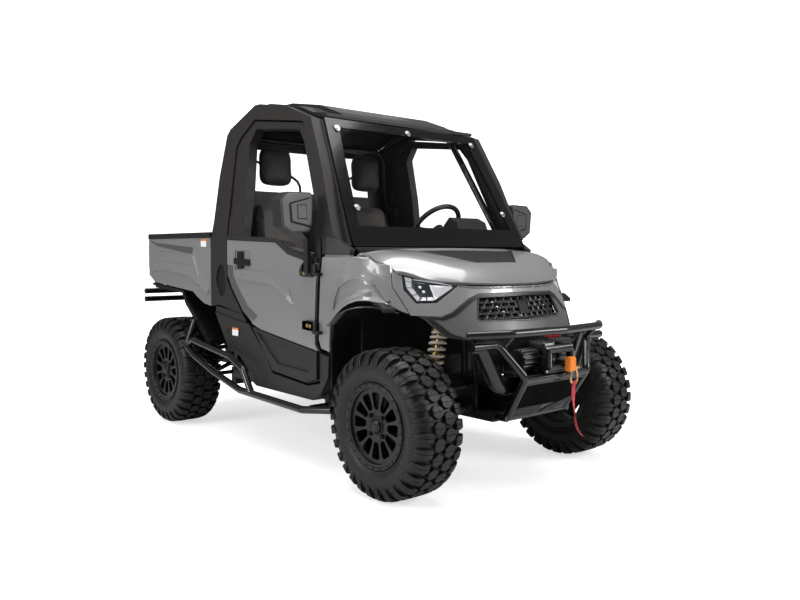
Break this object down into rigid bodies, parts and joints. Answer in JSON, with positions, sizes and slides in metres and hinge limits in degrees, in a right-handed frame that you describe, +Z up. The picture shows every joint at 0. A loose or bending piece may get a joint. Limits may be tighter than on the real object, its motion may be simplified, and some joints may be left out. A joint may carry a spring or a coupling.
{
  "type": "side by side utility vehicle",
  "caption": "Two-seat side by side utility vehicle with a hard cab, tipping bed, deep-lug tyres, front guard and winch.",
  "frame": {"origin": "on the floor below the middle of the vehicle, midway between front and rear and on the centre plane", "axes": "+X forward, +Y to the driver's left, +Z up"},
  "size_m": [3.1369, 1.848, 1.9754],
  "materials": {
    "frame_black": "satin",
    "cast_metal": "satin",
    "muffler_steel": "satin",
    "black_plastic": "matte",
    "dash_plastic": "matte",
    "wheel_rubber": "matte",
    "seat_fabric": "matte",
    "belt_web": "matte",
    "tube_black": "gloss",
    "cladding": "matte",
    "gloss_border": "gloss",
    "clear_glass": "gloss",
    "silver_paint": "gloss",
    "lamp_lens": "gloss",
    "grille_black": "satin",
    "grey_plastic": "satin",
    "winch_black": "satin",
    "hook_gold": "satin",
    "strap_red": "matte",
    "spring_cream": "satin",
    "shaft_steel": "satin",
    "lamp_red": "gloss",
    "mirror_shell": "satin",
    "rim_black": "satin",
    "tyre_rubber": "matte"
  },
  "bodies": {
    "chassis": {"main_frame": "frame_black", "powertrain": "cast_metal", "muffler": "muffler_steel", "floor_tub": "black_plastic", "dashboard": "dash_plastic", "steering_column": "frame_black", "seat_pads": "seat_fabric", "seat_belts": "belt_web", "roll_cage": "tube_black", "cab_side_arches": "cladding", "cab_rear_panel": "cladding", "windshield_frame": "gloss_border", "cab_glass": "clear_glass", "roof": "cladding", "front_fenders": "silver_paint", "front_fascia": "silver_paint", "headlights": "lamp_lens", "grille": "grille_black", "bumper_cover": "grey_plastic", "wheel_liners": "black_plastic", "front_guard": "tube_black", "winch": "winch_black", "winch_hook": "hook_gold", "winch_strap": "strap_red", "side_skirts": "cladding", "step_bars": "tube_black", "front_arms": "frame_black", "front_shocks": "spring_cream", "rear_arms": "frame_black", "rear_shocks": "spring_cream", "half_shafts": "shaft_steel", "rear_bumper": "tube_black", "rear_fenders": "black_plastic"},
    "steering_wheel": {"steering_wheel": "wheel_rubber"},
    "hood": {"hood": "silver_paint", "hood_insert": "cladding"},
    "tie_rods": {"tie_rods": "shaft_steel"},
    "bed": {"bed_box": "black_plastic", "bed_sides": "silver_paint", "tail_lights": "lamp_red"},
    "tailgate": {"tailgate": "silver_paint"},
    "knuckle_right": {"knuckle_right": "cast_metal"},
    "knuckle_left": {"knuckle_left": "cast_metal"},
    "door_right": {"door_right_frame": "cladding", "door_right_panel": "silver_paint", "door_right_glass": "clear_glass", "door_right_mirror": "mirror_shell"},
    "door_left": {"door_left_frame": "cladding", "door_left_panel": "silver_paint", "door_left_glass": "clear_glass", "door_left_mirror": "mirror_shell"},
    "wheel_fr": {"rim_fr": "rim_black", "tyre_fr": "tyre_rubber"},
    "wheel_fl": {"rim_fl": "rim_black", "tyre_fl": "tyre_rubber"},
    "wheel_rr": {"rim_rr": "rim_black", "tyre_rr": "tyre_rubber"},
    "wheel_rl": {"rim_rl": "rim_black", "tyre_rl": "tyre_rubber"}
  },
  "joints": [
    {"name": "steer_left", "type": "hinge", "parent": "chassis", "child": "knuckle_left", "pos_m": [1.085, 0.556, 0.343], "axis": [0, 0, 1], "range_deg": [-28, 28]},
    {"name": "steer_right", "type": "hinge", "parent": "chassis", "child": "knuckle_right", "pos_m": [1.085, -0.556, 0.343], "axis": [0, 0, 1], "range_deg": [-28, 28]},
    {"name": "steering_wheel_turn", "type": "hinge", "parent": "chassis", "child": "steering_wheel", "pos_m": [0.33, 0.35, 1.243], "axis": [-0.766, 0, 0.6428], "range_deg": [-255, 255]},
    {"name": "rack_slide", "type": "slide", "parent": "chassis", "child": "tie_rods", "axis": [0, -1, 0], "range_m": [-0.056, 0.056]},
    {"name": "door_right_swing", "type": "hinge", "parent": "chassis", "child": "door_right", "pos_m": [0.566, -0.717, 0.9], "axis": [0, 0, 1], "range_deg": [0, 70]},
    {"name": "door_left_swing", "type": "hinge", "parent": "chassis", "child": "door_left", "pos_m": [0.566, 0.717, 0.9], "axis": [0, 0, -1], "range_deg": [0, 70]},
    {"name": "hood_lift", "type": "hinge", "parent": "chassis", "child": "hood", "pos_m": [0.814, 0, 1.1], "axis": [0, -1, 0], "range_deg": [0, 50]},
    {"name": "bed_tilt", "type": "hinge", "parent": "chassis", "child": "bed", "pos_m": [-1.425, 0, 0.878], "axis": [0, -1, 0], "range_deg": [0, 34]},
    {"name": "tailgate_drop", "type": "hinge", "parent": "bed", "child": "tailgate", "pos_m": [-1.462, 0, 0.965], "axis": [0, -1, 0], "range_deg": [0, 90]},
    {"name": "roll_fr", "type": "hinge", "parent": "knuckle_right", "child": "wheel_fr", "pos_m": [1.085, -0.647, 0.343], "axis": [0, 1, 0], "continuous": true},
    {"name": "roll_fl", "type": "hinge", "parent": "knuckle_left", "child": "wheel_fl", "pos_m": [1.085, 0.647, 0.343], "axis": [0, 1, 0], "continuous": true},
    {"name": "roll_rr", "type": "hinge", "parent": "chassis", "child": "wheel_rr", "pos_m": [-1.085, -0.647, 0.343], "axis": [0, 1, 0], "continuous": true},
    {"name": "roll_rl", "type": "hinge", "parent": "chassis", "child": "wheel_rl", "pos_m": [-1.085, 0.647, 0.343], "axis": [0, 1, 0], "continuous": true}
  ],
  "couplings": [
    {"joint": "steer_right", "follows": "steer_left", "ratio": 1},
    {"joint": "steering_wheel_turn", "follows": "steer_left", "ratio": 9},
    {"joint": "rack_slide", "follows": "steer_left", "m_per_rad": 0.11}
  ]
}
